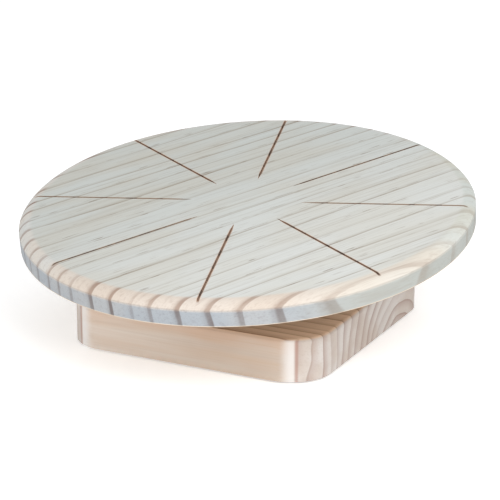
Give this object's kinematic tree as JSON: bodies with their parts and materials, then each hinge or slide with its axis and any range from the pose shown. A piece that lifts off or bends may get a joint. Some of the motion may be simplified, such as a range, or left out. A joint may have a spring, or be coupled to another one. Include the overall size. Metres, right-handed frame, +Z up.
{
  "type": "turntable display stand",
  "caption": "Round grooved wooden turntable top on a ball bearing, held by a clamped tilting steel bracket on a square wooden base.",
  "frame": {"origin": "centre of the base's underside, on the face it stands on", "axes": "+Z up; X along the tilt axle; -Y is the front, the side the top leans towards"},
  "size_m": [0.3, 0.2983, 0.1062],
  "materials": {
    "disc_wood": "pale whitewashed softwood, open grain, matt",
    "base_wood": "planed raw softwood, matt",
    "rubber_sheet": "fine ribbed, matt",
    "zinc_plate": "zinc plated, satin",
    "bolt_steel": "bright zinc, satin",
    "nylon": "natural nylon",
    "ball_steel": "polished",
    "knob_plastic": "moulded, fine texture",
    "brass_insert": "turned"
  },
  "bodies": {
    "base": {"base_block": "base_wood", "non_slip_sheet": "rubber_sheet", "lower_bracket": "zinc_plate", "bracket_screws": "bolt_steel", "pivot_bolt": "bolt_steel", "pivot_nut": "bolt_steel", "pivot_washers": "nylon"},
    "tilt_head": {"tilt_bracket": "zinc_plate", "spacer_tubes": "bolt_steel", "clamp_bolt": "bolt_steel", "clamp_washers": "bolt_steel", "bearing_lower_race": "zinc_plate", "bearing_screws": "bolt_steel", "bearing_nuts": "bolt_steel"},
    "clamp_hand_knob": {"clamp_knob": "knob_plastic", "knob_insert": "brass_insert"},
    "ball_ring": {"ball_cage": "nylon", "bearing_balls": "ball_steel"},
    "turntable": {"bearing_upper_race": "zinc_plate", "disc_screws": "bolt_steel", "turntable_disc": "disc_wood"}
  },
  "joints": [
    {"name": "tilt", "type": "hinge", "parent": "base", "child": "tilt_head", "pos_m": [0, 0, 0.052], "axis": [1, 0, 0], "range_deg": [-8.3, 11.7]},
    {"name": "spin", "type": "hinge", "parent": "tilt_head", "child": "turntable", "pos_m": [0, 0, 0.052], "axis": [0, -0.1444, 0.9895], "continuous": true},
    {"name": "ball_ring_turn", "type": "hinge", "parent": "tilt_head", "child": "ball_ring", "pos_m": [0, 0, 0.052], "axis": [0, -0.1444, 0.9895], "continuous": true},
    {"name": "clamp_turn", "type": "hinge", "parent": "tilt_head", "child": "clamp_hand_knob", "pos_m": [-0.056, 0.0249, 0.04755], "axis": [-1, 0, 0], "range_deg": [0, 180]}
  ],
  "couplings": [
    {"joint": "ball_ring_turn", "follows": "spin", "ratio": 0.5}
  ]
}
